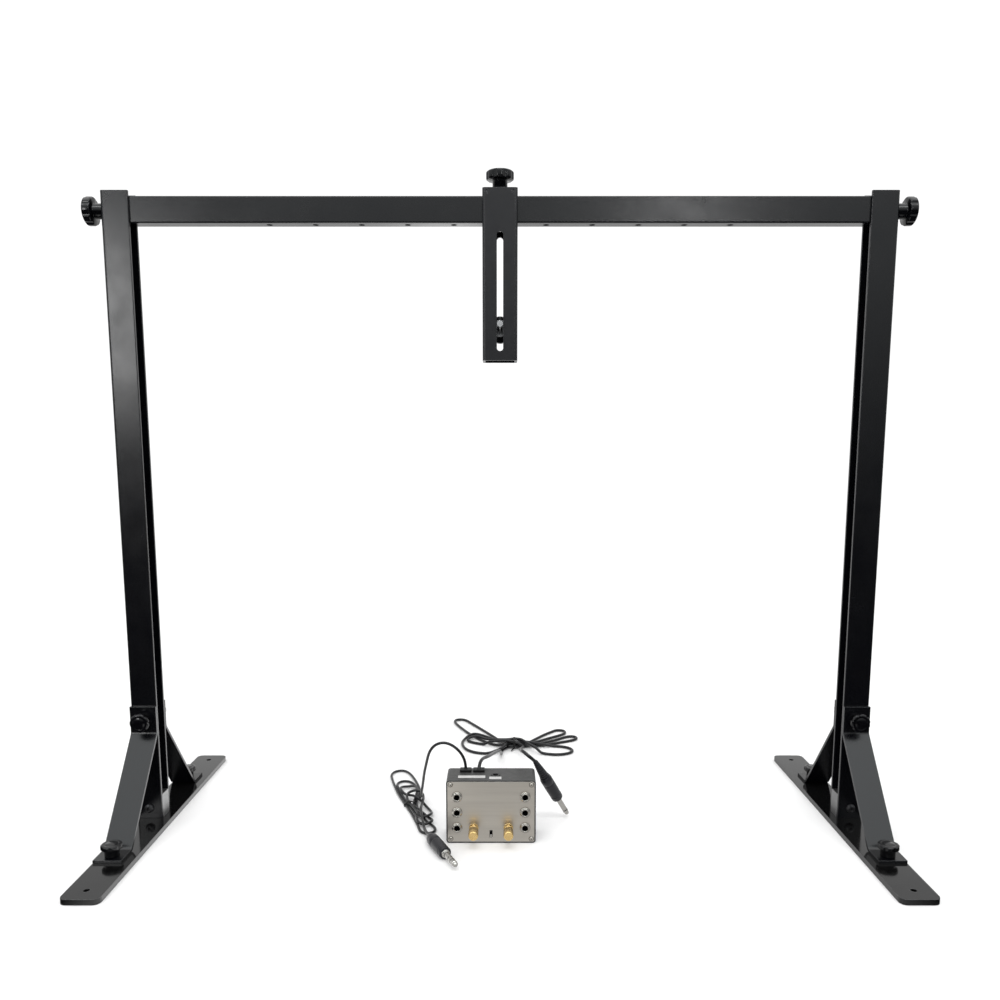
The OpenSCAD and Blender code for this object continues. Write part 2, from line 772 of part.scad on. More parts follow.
base_plate(true);  // base_plate_left
base_plate(false);  // base_plate_right
leg(true);  // leg_left
leg(false);  // leg_right
foot_block(true);  // foot_block_left
foot_block(false);  // foot_block_right
foot_screws();
leg_bolts();
leg_nuts();
brace(true, false);  // brace_front_left
brace(false, false);  // brace_front_right
brace(true, true);  // brace_rear_left
brace(false, true);  // brace_rear_right
brace_nuts();
crossbar();
bar_plugs();
screw_upper(true, false);  // screw_upper_front_left
screw_upper(false, false);  // screw_upper_front_right
screw_upper(true, true);  // screw_upper_rear_left
screw_upper(false, true);  // screw_upper_rear_right
screw_lower(true, false);  // screw_lower_front_left
screw_lower(false, false);  // screw_lower_front_right
screw_lower(true, true);  // screw_lower_rear_left
screw_lower(false, true);  // screw_lower_rear_right
end_knob(true);  // end_knob_left
end_stud(true);  // end_stud_left
end_knob(false);  // end_knob_right
end_stud(false);  // end_stud_right
carriage_tube();
carriage_cap();
cap_screws();
clamp_knob();
clamp_stud();
pressure_pad();
camera_knob();
camera_stud();
camera_washer();
box_shell();
faceplate();
faceplate_screws();
jack_sockets();
jack_nuts();
dial(0);  // dial_left
dial(1);  // dial_right
potentiometers();
switch_body();
switch_lever();
power_socket();
cord_grommets();
label_strips();
circuit_board();
lead_left();
hank_left();
lead_right();
tail_right();
hank_right();
cord_ties();
plug_shells();
plug_pins();
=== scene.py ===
import json
import math

import bmesh
import bpy
import numpy as np
from mathutils import Matrix, Vector

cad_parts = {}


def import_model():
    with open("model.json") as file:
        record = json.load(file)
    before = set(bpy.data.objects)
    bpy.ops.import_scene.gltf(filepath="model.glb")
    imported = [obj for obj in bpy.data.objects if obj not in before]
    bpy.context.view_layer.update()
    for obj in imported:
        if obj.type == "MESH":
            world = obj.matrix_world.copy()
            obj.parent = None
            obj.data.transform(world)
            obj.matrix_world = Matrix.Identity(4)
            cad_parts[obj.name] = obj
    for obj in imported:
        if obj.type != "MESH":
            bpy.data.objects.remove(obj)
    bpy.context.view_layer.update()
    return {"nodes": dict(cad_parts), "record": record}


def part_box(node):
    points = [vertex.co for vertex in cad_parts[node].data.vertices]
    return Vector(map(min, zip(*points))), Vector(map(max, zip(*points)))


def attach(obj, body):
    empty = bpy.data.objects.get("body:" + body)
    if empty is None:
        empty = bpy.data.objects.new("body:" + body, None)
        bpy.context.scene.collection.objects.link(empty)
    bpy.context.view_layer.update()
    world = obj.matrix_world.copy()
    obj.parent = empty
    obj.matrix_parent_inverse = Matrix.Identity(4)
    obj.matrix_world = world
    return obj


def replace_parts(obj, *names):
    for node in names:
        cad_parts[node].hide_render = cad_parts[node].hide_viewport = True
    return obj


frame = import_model()
MM = 0.001
mounts = {mount["name"]: mount for mount in frame["record"]["mounts"]}

# ---------- camera ----------

camera = bpy.data.objects.new("camera", bpy.data.cameras.new("camera"))
bpy.context.scene.collection.objects.link(camera)
camera.location = (0, -0.988, 0.4372)
camera.rotation_euler = (math.radians(81.98), 0, 0)
camera.data.lens = 31.32
camera.data.sensor_width = 36
camera.data.shift_y = 0.0715
camera.data.clip_start = 0.01
bpy.context.scene.camera = camera


# ---------- materials ----------

class Nodes:
    """Short ways to add nodes to a tree."""

    def __init__(self, tree):
        self.tree = tree

    def add(self, kind, options=(), **inputs):
        """A node with its options set, and its inputs set or linked."""
        node = self.tree.nodes.new(kind)
        for key, value in dict(options).items():
            setattr(node, key, value)
        for key, value in inputs.items():
            socket = node.inputs[key.replace("_", " ")]
            if isinstance(value, bpy.types.NodeSocket):
                self.tree.links.new(value, socket)
            else:
                socket.default_value = value
        return node

    def combine(self, kind, operation, *values):
        """The value that a math node makes of one or two sockets."""
        node = self.add(kind, {"operation": operation})
        for value, socket in zip(values, node.inputs):
            self.tree.links.new(value, socket)
        return node.outputs["Value"]

    def times(self, a, b):
        return self.combine("ShaderNodeMath", "MULTIPLY", a, b)

    def spread(self, value, low, high, start=0.3, end=0.7):
        """Takes a value from start..end to low..high."""
        return self.add("ShaderNodeMapRange", Value=value, From_Min=start, From_Max=end,
                        To_Min=low, To_Max=high).outputs[0]

    def mix(self, factor, a, b, how="MIX"):
        return self.add("ShaderNodeMixRGB", {"blend_type": how}, Fac=factor, Color1=a,
                        Color2=b).outputs[0]


class Finish(Nodes):
    """A node material whose textures are fixed to the object it is on."""

    def __init__(self, name, metallic=0.0, specular=0.5):
        self.material = bpy.data.materials.new(name)
        self.material.use_nodes = True
        super().__init__(self.material.node_tree)
        self.shader = self.tree.nodes["Principled BSDF"]
        self.shader.inputs["Metallic"].default_value = metallic
        self.shader.inputs["Specular IOR Level"].default_value = specular
        self.place = self.add("ShaderNodeTexCoord").outputs["Object"]

    def noise(self, size, detail=3.0, stretch=None):
        place = self.place
        if stretch:
            place = self.add("ShaderNodeMapping", Vector=place, Scale=stretch).outputs[0]
        return self.add("ShaderNodeTexNoise", Vector=place, Scale=1 / size,
                        Detail=detail, Roughness=0.6).outputs["Fac"]

    def use(self, **inputs):
        for key, value in inputs.items():
            self.tree.links.new(value, self.shader.inputs[key.replace("_", " ")])


def tint(color, scale):
    return tuple(c * scale for c in color) + (1.0,)


def surface(name, color, rough, metallic=0.0, specular=0.5, patch=0.05, variation=0.15,
            rough_change=0.06, grain=0.0, grain_size=0.001, edge=None, edge_width=0.0006,
            stretch=None):
    """A finish with broad and fine variation, a grain, rounded edges and a painted highlight along
    them.
    """
    f = Finish(name, metallic, specular)
    broad = f.noise(patch, 4.0, stretch)
    fine = f.noise(grain_size, 6.0, stretch)
    base = f.mix(f.spread(broad, 0, 1), tint(color, 1 - variation), tint(color, 1 + variation))
    speck = f.mix(f.spread(fine, 0, 0.5, 0.45, 0.75), base, tint(color, 1 + 2 * variation))
    rounded = f.add("ShaderNodeBevel", {"samples": 4}, Radius=edge_width).outputs[0]
    # Towards the rounded edges the colour goes to the edge colour, broken up by noise: a painted edge
    # highlight
    if edge:
        flat = f.add("ShaderNodeNewGeometry").outputs["Normal"]
        bend = f.combine("ShaderNodeVectorMath", "DOT_PRODUCT", rounded, flat)
        near = f.spread(bend, 1, 0, 0.82, 0.985)
        painted_edge_highlight = f.times(near, f.spread(f.noise(0.006, 5.0), 0.25, 1, 0.35, 0.65))
        speck = f.mix(painted_edge_highlight, speck, tint(edge, 1.0))
    roughness = f.spread(f.noise(patch * 0.3, 5.0, stretch), rough - rough_change, rough + rough_change)
    bump = f.add("ShaderNodeBump", Strength=1.0, Distance=grain, Height=fine, Normal=rounded)
    f.use(Base_Color=speck, Roughness=roughness, Normal=bump.outputs[0])
    return f.material


# The edge colour of each finish is the painted highlight along its edges
FINISHES = {
    "frame_black": dict(
        color=(0.0012, 0.0013, 0.0022), rough=0.24, specular=0.42, patch=0.12,
        rough_change=0.04, grain=0.000015, grain_size=0.0006, edge=(0.05, 0.052, 0.056),
        edge_width=0.0008),
    "plate_black": dict(
        color=(0.0035, 0.0035, 0.0036), rough=0.1, specular=0.5, patch=0.09,
        rough_change=0.03, grain=0.00001, grain_size=0.0007, edge=(0.1, 0.1, 0.1), edge_width=0.0009),
    "carriage_black": dict(
        color=(0.003, 0.003, 0.0045), rough=0.34, specular=0.4, patch=0.05, variation=0.1,
        grain=0.00003, grain_size=0.0005, edge=(0.05, 0.05, 0.055)),
    "block_steel": dict(
        color=(0.2, 0.2, 0.2), rough=0.38, metallic=0.9, patch=0.01, variation=0.2,
        grain=0.00003, grain_size=0.0006, stretch=(1, 1, 12), edge=(0.5, 0.5, 0.5)),
    "dark_steel": dict(
        color=(0.03, 0.03, 0.032), rough=0.34, metallic=0.7, patch=0.004, variation=0.3,
        grain=0.00002, grain_size=0.0005, edge=(0.2, 0.2, 0.2), edge_width=0.0003),
    "zinc_steel": dict(
        color=(0.52, 0.52, 0.53), rough=0.28, metallic=1.0, patch=0.005, variation=0.15,
        grain=0.00002, grain_size=0.0006, edge=(0.8, 0.8, 0.8), edge_width=0.0003),
    "knob_black": dict(
        color=(0.0014, 0.0014, 0.002), rough=0.14, specular=0.28, patch=0.012, variation=0.3,
        rough_change=0.08, grain=0.000015, grain_size=0.0008, edge=(0.03, 0.03, 0.032),
        edge_width=0.0004),
    "pad_nylon": dict(
        color=(0.7, 0.68, 0.62), rough=0.45, patch=0.004, variation=0.06,
        grain=0.00002, grain_size=0.0005),
    "box_black": dict(
        color=(0.03, 0.03, 0.029), rough=0.5, specular=0.42, patch=0.02, variation=0.12,
        grain=0.00012, grain_size=0.0007, edge=(0.06, 0.06, 0.06), edge_width=0.0005),
    "panel_steel": dict(
        color=(0.4, 0.375, 0.335), rough=0.36, metallic=1.0, patch=0.012, variation=0.06,
        rough_change=0.07, grain=0.00001, grain_size=0.0009, stretch=(0.04, 1, 1.6),
        edge=(0.7, 0.68, 0.64), edge_width=0.0003),
    "socket_black": dict(
        color=(0.003, 0.003, 0.003), rough=0.4, specular=0.3, patch=0.003, variation=0.2,
        grain=0.00002, grain_size=0.0004),
    "nut_chrome": dict(
        color=(0.3, 0.285, 0.26), rough=0.2, metallic=1.0, patch=0.002, variation=0.08,
        rough_change=0.05, grain=0.000006, grain_size=0.0004, edge=(0.9, 0.9, 0.88),
        edge_width=0.0002),
    "dial_brass": dict(
        color=(0.62, 0.44, 0.19), rough=0.27, metallic=1.0, patch=0.003, variation=0.12,
        rough_change=0.07, grain=0.00001, grain_size=0.0005, edge=(0.9, 0.75, 0.45),
        edge_width=0.0003),
    "grommet_rubber": dict(
        color=(0.002, 0.002, 0.002), rough=0.5, specular=0.25, patch=0.004, variation=0.25,
        grain=0.00004, grain_size=0.0005),
    "label_white": dict(
        color=(0.5, 0.5, 0.49), rough=0.6, patch=0.006, variation=0.08,
        grain=0.00003, grain_size=0.0004),
    "board_green": dict(
        color=(0.02, 0.12, 0.045), rough=0.4, patch=0.006, variation=0.3,
        grain=0.00003, grain_size=0.001),
    "cord_black": dict(
        color=(0.0025, 0.0025, 0.0034), rough=0.34, specular=0.3, patch=0.02, variation=0.25,
        rough_change=0.08, grain=0.00003, grain_size=0.0008),
    "plug_black": dict(
        color=(0.004, 0.004, 0.0065), rough=0.38, specular=0.32, patch=0.008, variation=0.2,
        grain=0.00004, grain_size=0.0006, edge=(0.05, 0.05, 0.055), edge_width=0.0004),
    "plug_nickel": dict(
        color=(0.36, 0.35, 0.33), rough=0.2, metallic=1.0, patch=0.004, variation=0.08,
        rough_change=0.05, grain=0.000006, grain_size=0.0005, edge=(0.9, 0.9, 0.88),
        edge_width=0.0002),
}
looks = {name: surface(name, **finish) for name, finish in FINISHES.items()}

for part in frame["record"]["subparts"]:
    mesh = frame["nodes"][part["node"]].data
    mesh.materials.clear()
    mesh.materials.append(looks[part["material_slot"]])


# ---------- mesh helpers ----------

class Shape:
    """Points and faces put together from several simple forms."""

    def __init__(self):
        self.points, self.faces, self.indices = [], [], []

    def put(self, points, faces, index=0):
        start = len(self.points)
        self.points += [Vector(p) for p in points]
        self.faces += [tuple(i + start for i in f) for f in faces]
        self.indices += [index] * len(faces)

    def rings(self, rings, index=0, close=(True, True)):
        """Joins rings of the same number of points, and caps the ends."""
        n = len(rings[0])
        faces = [(i * n + k, i * n + (k + 1) % n, (i + 1) * n + (k + 1) % n, (i + 1) * n + k)
                 for i in range(len(rings) - 1) for k in range(n)]
        if close[0]:
            faces.append(tuple(range(n))[::-1])
        if close[1]:
            faces.append(tuple((len(rings) - 1) * n + k for k in range(n)))
        self.put([p for ring in rings for p in ring], faces, index)

    def lathe(self, profile, place, sides=48, index=0, flutes=None, close=(True, True)):
        """Turns a profile of (radius, height) in mm about +Z; place is a 4x4 matrix."""
        rings = []
        for r, z in profile:
            ring = []
            for k in range(sides):
                a = 2 * math.pi * k / sides
                reach = r if flutes is None else fluted(r, z, a, *flutes)
                point = Vector((reach * math.cos(a), reach * math.sin(a), z)) * MM
                ring.append(place @ point)
            rings.append(ring)
        self.rings(rings, index, close)

    def block(self, low, high, soft, steps=3, index=0):
        """A box in metres with rounded edges."""
        bm = bmesh.new()
        bmesh.ops.create_cube(bm, size=1)
        size, mid = Vector(high) - Vector(low), (Vector(high) + Vector(low)) / 2
        bmesh.ops.scale(bm, vec=size, verts=bm.verts)
        bmesh.ops.translate(bm, vec=mid, verts=bm.verts)
        bmesh.ops.bevel(bm, geom=bm.edges[:], offset=soft, segments=steps, profile=0.5,
                        affect="EDGES")
        self.put([v.co for v in bm.verts], [tuple(v.index for v in f.verts) for f in bm.faces], index)
        bm.free()

    def piece(self, name, slots, body, sharp=38):
        """A smooth mesh object with sharp edges kept, riding on a body."""
        slots = [slots] if isinstance(slots, str) else slots
        mesh = bpy.data.meshes.new(name)
        mesh.from_pydata([tuple(p) for p in self.points], [], self.faces)
        for slot in slots:
            mesh.materials.append(looks[slot])
        mesh.polygons.foreach_set("material_index", self.indices)
        mesh.shade_smooth()
        mesh.set_sharp_from_angle(angle=math.radians(sharp))
        piece = bpy.data.objects.new(name, mesh)
        bpy.context.scene.collection.objects.link(piece)
        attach(piece, body)
        return piece


def fluted(r, z, angle, count, full, hollow, depth, low, high, turn=0.0):
    """The radius at an angle where a round hollow is cut count times round a head."""
    share = min(1.0, max(0.0, (z - low) / (high - low)))
    if share == 0:
        return r
    step = 2 * math.pi / count
    phi = (angle - turn + step / 2) % step - step / 2
    centre = full + hollow - depth * share
    under = hollow * hollow - (centre * math.sin(phi)) ** 2
    if under <= 0:
        return r
    cut = centre * math.cos(phi) - math.sqrt(under)
    blend = 0.35
    return r if cut > r + blend else min(r, cut) - max(0, blend - abs(cut - r)) ** 2 / (4 * blend)


def aimed(origin, direction, turn=0.0):
    """A matrix that takes +Z to a direction and the origin to a point in metres."""
    spin = Vector(direction).normalized().to_track_quat("Z", "Y").to_matrix().to_4x4()
    return Matrix.Translation(Vector(origin)) @ spin @ Matrix.Rotation(turn, 4, "Z")


# ---------- cords ----------

STEP = 2.0
FLOOR_LEVEL = 2.6


def route(points, step=STEP, rounds=8):
    """A smooth line in mm through the points, with samples a step apart."""
    p = [np.array(q, float) for q in points]
    line = []
    for i in range(len(p) - 1):
        a, b, c, d = p[max(i - 1, 0)], p[i], p[i + 1], p[min(i + 2, len(p) - 1)]
        for k in range(8):
            t = k / 8
            line.append(0.5 * (2 * b + (c - a) * t + (2 * a - 5 * b + 4 * c - d) * t * t
                               + (3 * b - a - 3 * c + d) * t ** 3))
    line = np.array(line + [p[-1]])
    along = np.r_[0, np.cumsum(np.linalg.norm(np.diff(line, axis=0), axis=1))]
    at = np.linspace(0, along[-1], int(round(along[-1] / step)) + 1)
    line = np.stack([np.interp(at, along, line[:, k]) for k in range(3)], 1)
    for _ in range(rounds):
        line[1:-1] = 0.25 * line[:-2] + 0.5 * line[1:-1] + 0.25 * line[2:]
    return line


def settle(line, r, start, end, step=STEP, slope=0.2, gap=30.0):
    """Lays the samples from start to end on the floor, each over the earlier ones."""
    z = line[:, 2].copy()
    gap_steps, far = int(gap / step), (2.05 * r) ** 2
    for i in range(start, end):
        z[i] = max(line[i, 2], z[i - 1] - slope * step) if i > start else r
        earlier = np.arange(start, max(start, i - gap_steps))
        if len(earlier):
            apart = ((line[earlier, :2] - line[i, :2]) ** 2).sum(1)
            hit = apart < far
            if hit.any():
                z[i] = max(z[i], (z[earlier][hit] + np.sqrt(far - apart[hit])).max())
        back = np.arange(max(start, i - gap_steps), i)
        z[back] = np.maximum(z[back], z[i] - slope * step * (i - back))
    for _ in range(6):
        inner = z[start + 1:end - 1]
        z[start + 1:end - 1] = 0.25 * z[start:end - 2] + 0.5 * inner + 0.25 * z[start + 2:end]
    line = line.copy()
    line[:, 2] = np.maximum(z, r)
    return line


def on_floor(line, first, level):
    """The first sample after `first` on the floor, and the last one below a level."""
    return (next(i for i in range(first, len(line)) if line[i, 2] < FLOOR_LEVEL),
            max(i for i in range(first, len(line)) if line[i, 2] < level))


def cord_piece(name, line, r, nodes):
    """One round cord along a line in mm, in place of its CAD nodes."""
    curve = bpy.data.curves.new(name, "CURVE")
    curve.dimensions = "3D"
    curve.bevel_depth = r * MM
    curve.bevel_resolution = 4
    curve.use_fill_caps = True
    spline = curve.splines.new("POLY")
    spline.points.add(len(line) - 1)
    for point, place in zip(spline.points, line * MM):
        point.co = (*place, 1)
    spline.use_smooth = True
    curve.materials.append(looks["cord_black"])
    piece = bpy.data.objects.new(name, curve)
    bpy.context.scene.collection.objects.link(piece)
    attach(piece, "control_box")
    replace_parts(piece, *nodes)
    return piece


# The left lead: its free stretch, then its hank in (along, across) from the middle
LEFT_R = 1.65
lead_left = [
    (-39, -36, 76), (-39.5, -36, 83), (-43.5, -36, 93), (-52, -36, 102), (-63, -35, 106.5),
    (-74, -33, 103), (-81, -29, 93), (-85, -21, 78), (-89, -9, 60), (-92, 6, 42),
    (-95, 22, 26), (-98, 38, 12), (-100.5, 54, 3.5)]
turns_left = [
    (33, 12.5), (50, 13.5), (68, 13), (86, 11.5), (104, 8.5), (117, 2), (116.5, -9), (105, -16),
    (86, -17), (64, -16.5), (42, -15.5), (22, -13.5), (4, -11), (-16, -8.5), (-34, -6.5),
    (-50, -5.5), (-63, -4.5), (-75, -4.5), (-83, -2), (-86.5, 4.5), (-83, 11.5), (-75, 14),
    (-65, 11.5), (-54, 7), (-40, 4.5), (-26, 3), (-12, 2), (2, 3), (16, 6), (32, 9), (48, 10),
    (64, 9), (77, 3), (78.5, -6.5), (68, -13), (47, -12.5), (26, -10.5), (7, -8), (-13, -5),
    (-28, -3.2), (-42, -3.8), (-53, -4.5), (-62, -2.2), (-65.5, 4.5), (-62, 11.5), (-53, 14),
    (-44, 10.5), (-34, 5), (-24, 2), (-13, -0.5), (-2, -1.5), (10, 2), (22, 6), (33, 8.5),
    (45, 9.5), (55, 6), (58.5, -1.5), (54, -9), (43, -11.5), (29, -7.5), (15, 1), (3, 8),
    (-9, 12.5), (-22, 16), (-34, 16.5), (-44, 12.5), (-47, 6), (-41, -0.5), (-27, -1.5),
    (-13, -4), (1, -6.5), (14, -7.5), (25, -3), (27, 6), (18, 13), (4, 12), (-11, 8),
    (-28, 4), (-46, 2.5), (-62, 1.2)]
left_mid = np.array([-106, 38])
left_along = np.array([-0.2355, 0.972])
left_across = np.array([0.972, 0.2355])


def in_left_hank(s, t, z=LEFT_R):
    """A point of the left hank, from its place along and across the hank."""
    x, y = left_mid + s * left_along + t * left_across
    return (x, y, z)


# The right lead: its free stretch, six loops through one tie, and its tail
RIGHT_R = 2.0
lead_right = [
    (-24, -37, 76), (-24, -36.8, 77.6), (-23.6, -34.5, 79.8), (-22.6, -29.5, 81.4), (-21, -22, 81.6),
    (-18.5, -12, 79.9), (-15, 0, 76.8), (-11.5, 22, 71), (-8.3, 50, 63), (-5.8, 75, 55.5),
    (-3.6, 100, 47.5), (-1.6, 125, 39.3), (0.2, 150, 30.5), (1.2, 172, 21), (1.8, 192, 12),
    (1.8, 206, 5.8), (1.8, 218, 2.6), (3, 230, 2.5)]
tie_right = (21, 247)
loops_right = [
    [(38, 258), (53, 280), (67, 300), (79, 314), (89, 324), (100, 320), (99.5, 307), (87, 295),
     (73, 284), (58, 271), (42, 258)],
    [(4, 266), (-13, 298), (-32, 333), (-47, 360), (-53.5, 371.5), (-61, 378), (-69, 377.5),
     (-73, 370.5), (-70, 356), (-59.5, 331), (-46, 304), (-28, 276), (-8, 256)],
    [(38, 249), (58, 260), (78, 273), (91, 283), (101, 291.5), (109.5, 295), (116, 290.5),
     (116.3, 282.5), (109, 276), (96, 269), (76, 259.5), (56, 251), (38, 246)],
    [(4, 262), (-10, 281), (-24, 294), (-38, 296), (-50, 287), (-56, 271), (-55, 252),
     (-48, 234), (-34, 222), (-16, 219), (2, 228)],
    [(38, 247), (58, 250), (80, 250), (98, 245), (106, 232), (100, 220), (82, 214), (62, 219),
     (44, 231)],
    [(6, 252), (-9, 263), (-24, 277), (-38, 286), (-48, 282), (-47, 271), (-33, 262),
     (-16, 254), (2, 246)]]
across_tie = [0, 4.2, -4.2, 2.1, -2.1, 0, -6.2]
tail_right = [
    (26.5, 239.3, 6), (31.5, 234.5, 8), (33.5, 227.5, 9.5), (33, 216, 12.3), (30.5, 198, 17),
    (27.5, 165, 27.5), (27, 125, 41), (26.5, 85, 54.5), (26, 45, 68.3), (25.5, 10, 80.8),
    (25, -10, 88.3), (25.2, -19.5, 91.5), (26.8, -26.5, 92.7), (29.8, -31, 91.5), (33.2, -32.6, 89),
    (36.9, -31.6, 85.6)]

# Each plug from the end of its boot to the end of its pin
plug_left = (Vector((-80.5, -59, 7)), Vector((-45.5, -132.5, 7)))
plug_right = (Vector((40.3, -28.8, 81.9)), Vector((81, 6.5, 3.2)))
INTO_PLUG = 22
FREE_STRETCH = 40  # samples of each lead that are never on the floor


def into(plug):
    """Where a cord ends inside its plug's shell."""
    return tuple(plug[0] + (plug[1] - plug[0]).normalized() * INTO_PLUG)


left_points = lead_left + [in_left_hank(s, t) for s, t in turns_left]
left_points += [in_left_hank(-76, 0.8, 3.2), in_left_hank(-88, 0.9, 5.6)]
left_line = route(left_points + [tuple(plug_left[0]), into(plug_left)])
left_line = settle(left_line, LEFT_R, *on_floor(left_line, FREE_STRETCH, 6.6))

right_points = list(lead_right)
for k, side in enumerate(across_tie):
    run = 7 if k % 2 == 0 else -7
    last = k == len(loops_right)
    right_points += [(tie_right[0] - run, tie_right[1] + side, RIGHT_R),
                     (tie_right[0] + (-1 if last else run), tie_right[1] + side, RIGHT_R)]
    if not last:
        right_points += [(x, y, RIGHT_R) for x, y in loops_right[k]]
right_points += tail_right
right_line = route(right_points + [tuple(plug_right[0]), into(plug_right)])
right_line = settle(right_line, RIGHT_R, *on_floor(right_line, FREE_STRETCH, 13))

cord_left = cord_piece("cord_left", left_line, LEFT_R, ["lead_left", "hank_left"])
cord_right = cord_piece("cord_right", right_line, RIGHT_R, ["lead_right", "tail_right", "hank_right"])


# ---------- ties ----------

TIE_THICK = 0.5
TIE_WIDE = 3.2
WIRE_R = 0.75


def wire_tie(name, line, r, centre, along, across, within, tail):
    """A flat wire tie round the strands that pass near a point, with a twisted end.

    tail is the point of the loop where the twist starts, then its run across, up and along.
    """
    centre, along, across = (np.array(v, float) for v in (centre, along, across))
    rel = line[:, :2] - centre
    near = (np.abs(rel @ along) < 3) & (rel @ across > within[0]) & (rel @ across < within[1])
    strands = np.stack([(rel @ across)[near], line[near, 2]], 1)
    count = 56
    turn = 2 * math.pi / count
    reach = [(strands @ np.array([math.cos(k * turn), math.sin(k * turn)])).max() + r + 0.1
             for k in range(count)]
    loop = []
    for k in range(count):
        a = k * turn
        rate = (reach[(k + 1) % count] - reach[k - 1]) / (2 * turn)
        loop.append((reach[k] * math.cos(a) - rate * math.sin(a),
                     max(0.1, reach[k] * math.sin(a) + rate * math.cos(a)), a))

    def world(u, z, s):
        x, y = centre + u * across + s * along
        return Vector((x, y, z)) * MM

    half = TIE_WIDE / 2
    section = [(0, -half), (TIE_THICK, 0.3 - half), (TIE_THICK, half - 0.3), (0, half)]
    rings = [[world(u + out * math.cos(a), max(0.05, z + out * math.sin(a)), s) for out, s in section]
             for u, z, a in loop]
    shape = Shape()
    shape.rings(rings + [rings[0]], 0, (False, False))
    first, run_across, run_up, run_along = tail
    for side in (-1, 1):
        rings = []
        for k in range(25):
            t, a = k / 24, k * 0.55 + (0 if side > 0 else math.pi)
            u = loop[first][0] + run_across * t
            z = max(0.9, loop[first][1] + run_up * t)
            swing = 0.55 + side * 3 * max(0, t - 0.8)
            c, d = math.cos(a) * swing, math.sin(a) * swing
            rings.append([world(u + c * 0.4 + WIRE_R * math.cos(b), z + d + WIRE_R * math.sin(b),
                                run_along * t + c) for b in (0, 1.05, 2.1, 3.14, 4.19, 5.24)])
        shape.rings(rings)
    piece = shape.piece(name, "grommet_rubber", "control_box", 60)
    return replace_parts(piece, "cord_ties")


tie_a = wire_tie("tie_left", left_line, LEFT_R, left_mid, left_along, left_across, (-16, 0),
                 (18, 2, 1, -6))
tie_b = wire_tie("tie_right", right_line, RIGHT_R, tie_right, (1, 0), (0, 1), (-12, 12),
                 (34, -9, -1.5, -5))


# ---------- plugs ----------

SHELL = 37
PIN = 30
PIN_R = 3.175


def plug(name, ends, ribs, sleeve):
    """A moulded phone plug: boot, plain or ribbed, shell, collar, and a pin with its rings."""
    place = aimed(ends[0] * MM, ends[1] - ends[0])
    length = (ends[1] - ends[0]).length
    base = length - PIN
    boot = base - SHELL
    shape = Shape()
    profile = [(2.1, 0), (2.5, 0.15), (2.7, 0.6)]
    step = (boot - 4) / max(ribs, 1)
    for k in range(ribs):
        t = (k + 0.5) / ribs
        z, r = 1.5 + t * (boot - 4), 2.7 + (5.4 - 2.7) * t ** 0.85
        profile += [(r, z - step * 0.3), (r + 0.1, z), (r, z + step * 0.22),
                    (r - 0.75, z + step * 0.3), (r - 0.7, z + step * 0.62)]
    if ribs:
        profile += [(5.9, boot - 2), (6.2, boot)]
    else:
        profile += [(3.0, 2), (3.9, boot * 0.3), (5.2, boot * 0.5), (6.3, boot * 0.72),
                    (6.8, boot * 0.92)]
    profile += [(6.75, boot + 1.2), (6.95, boot + 2), (7, boot + 4), (7, boot + 9),
                (6.75, boot + 9.4), (6.75, boot + 10.2), (7, boot + 10.6), (6.95, boot + 20),
                (6.75, base - 8), (6.4, base - 7.7), (6.4, base - 6.9), (6.8, base - 6.5),
                (6.7, base - 1.2), (6.3, base - 0.4), (5.6, base), (4.0, base)]
    shape.lathe(profile, place, 56, 0, None, (True, False))
    shape.lathe([(4.4, base - 0.3), (4.5, base + 0.4), (4.2, base + 0.7), (3.9, base + 0.9),
                 (3.9, base + 1.9), (3.3, base + 2.2), (PIN_R, base + 2.6)], place, 40, 1, None,
                (True, False))
    at = base + 2.6
    for cut in [0.42 * PIN, 0.62 * PIN] if sleeve else [PIN - 9.5]:
        ring = base + cut
        shape.lathe([(PIN_R, at), (PIN_R, ring - 0.1), (3.1, ring)], place, 40, 1, None, (False, False))
        shape.lathe([(3.1, ring), (3.08, ring + 1.1), (3.1, ring + 1.3)], place, 40, 2, None,
                    (False, False))
        at = ring + 1.3
    shape.lathe([(3.1, at), (PIN_R, at + 0.15), (PIN_R, length - 5), (2.9, length - 4.6),
                 (2.2, length - 4.0), (2.15, length - 3.5), (2.6, length - 2.9), (2.75, length - 2.4),
                 (2.3, length - 1.2), (1.2, length - 0.35), (0.4, length)], place, 40, 1, None,
                (False, True))
    piece = shape.piece(name, ["plug_black", "plug_nickel", "socket_black"], "control_box", 32)
    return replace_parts(piece, "plug_shells", "plug_pins")


plug_a = plug("plug_left", plug_left, ribs=0, sleeve=True)
plug_b = plug("plug_right", plug_right, ribs=8, sleeve=False)

# ---------- strain reliefs ----------

low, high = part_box("cord_grommets")
shape = Shape()
for lead, r, lean in ((lead_left, LEFT_R, (-0.05, 0, 1)), (lead_right, RIGHT_R, (0.05, 0.3, 1))):
    x, y = lead[0][0] * MM, lead[0][1] * MM
    shape.block((x - 0.0065, low.y, high.z - 0.003), (x + 0.0065, high.y, high.z), 0.0006)
    shape.block((x - 0.005, -0.039, low.z), (x + 0.005, -0.033, high.z - 0.002), 0.0003)
    shape.lathe([(r + 0.8, 0), (r + 0.7, 1.1), (r + 0.4, 1.5), (r + 0.2, 1.7), (r - 0.3, 1.7)],
                aimed((x, y, high.z - 0.001), lean), 32)
grommets = shape.piece("strain_reliefs", "grommet_rubber", "control_box")
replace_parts(grommets, "cord_grommets")

shape = Shape()
shape.lathe([(2.95, -0.4), (2.95, 0.25), (3.3, 0.45), (5.1, 0.5), (5.5, 0.35), (5.6, 0)],
            Matrix.Translation(mounts["power_socket"]["pos_m"]), 48, 0, None, (False, False))
shape.piece("power_socket_rim", "socket_black", "control_box")

# ---------- knobs ----------

